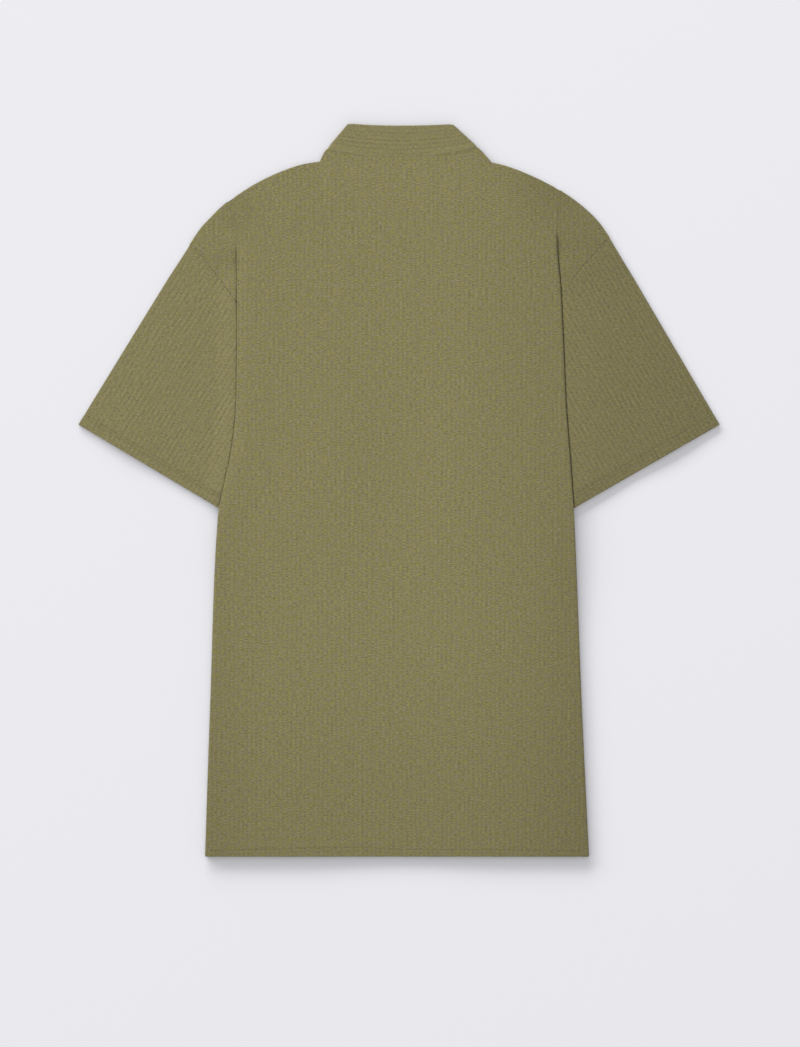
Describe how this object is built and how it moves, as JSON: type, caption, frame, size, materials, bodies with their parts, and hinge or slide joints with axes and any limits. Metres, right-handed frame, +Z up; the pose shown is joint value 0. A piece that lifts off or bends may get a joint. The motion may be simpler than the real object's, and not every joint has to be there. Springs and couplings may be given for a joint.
{
  "type": "short-sleeved polo shirt, laid flat",
  "caption": "Short-sleeved knitted polo shirt laid flat on its front, back up, collar turned down and the sides of the body tucked under.",
  "frame": {"origin": "centre of the laid shirt's bounding box, on the surface it lies on", "axes": "+Y from hem to collar, +Z up out of the back of the shirt, away from the surface"},
  "size_m": [0.6664, 0.7612, 0.008],
  "materials": {
    "body_knit": "matt textured knit",
    "sleeve_knit": "matt textured knit",
    "collar_rib": "matt ribbed knit",
    "placket_knit": "matt knit, interlined",
    "button": "satin"
  },
  "bodies": {
    "root": {"back": "body_knit", "front": "body_knit", "sleeve_left": "sleeve_knit", "sleeve_right": "sleeve_knit", "collar": "collar_rib", "placket_over": "placket_knit", "placket_under": "placket_knit", "button_1": "button", "button_2": "button", "button_3": "button"}
  },
  "joints": []
}
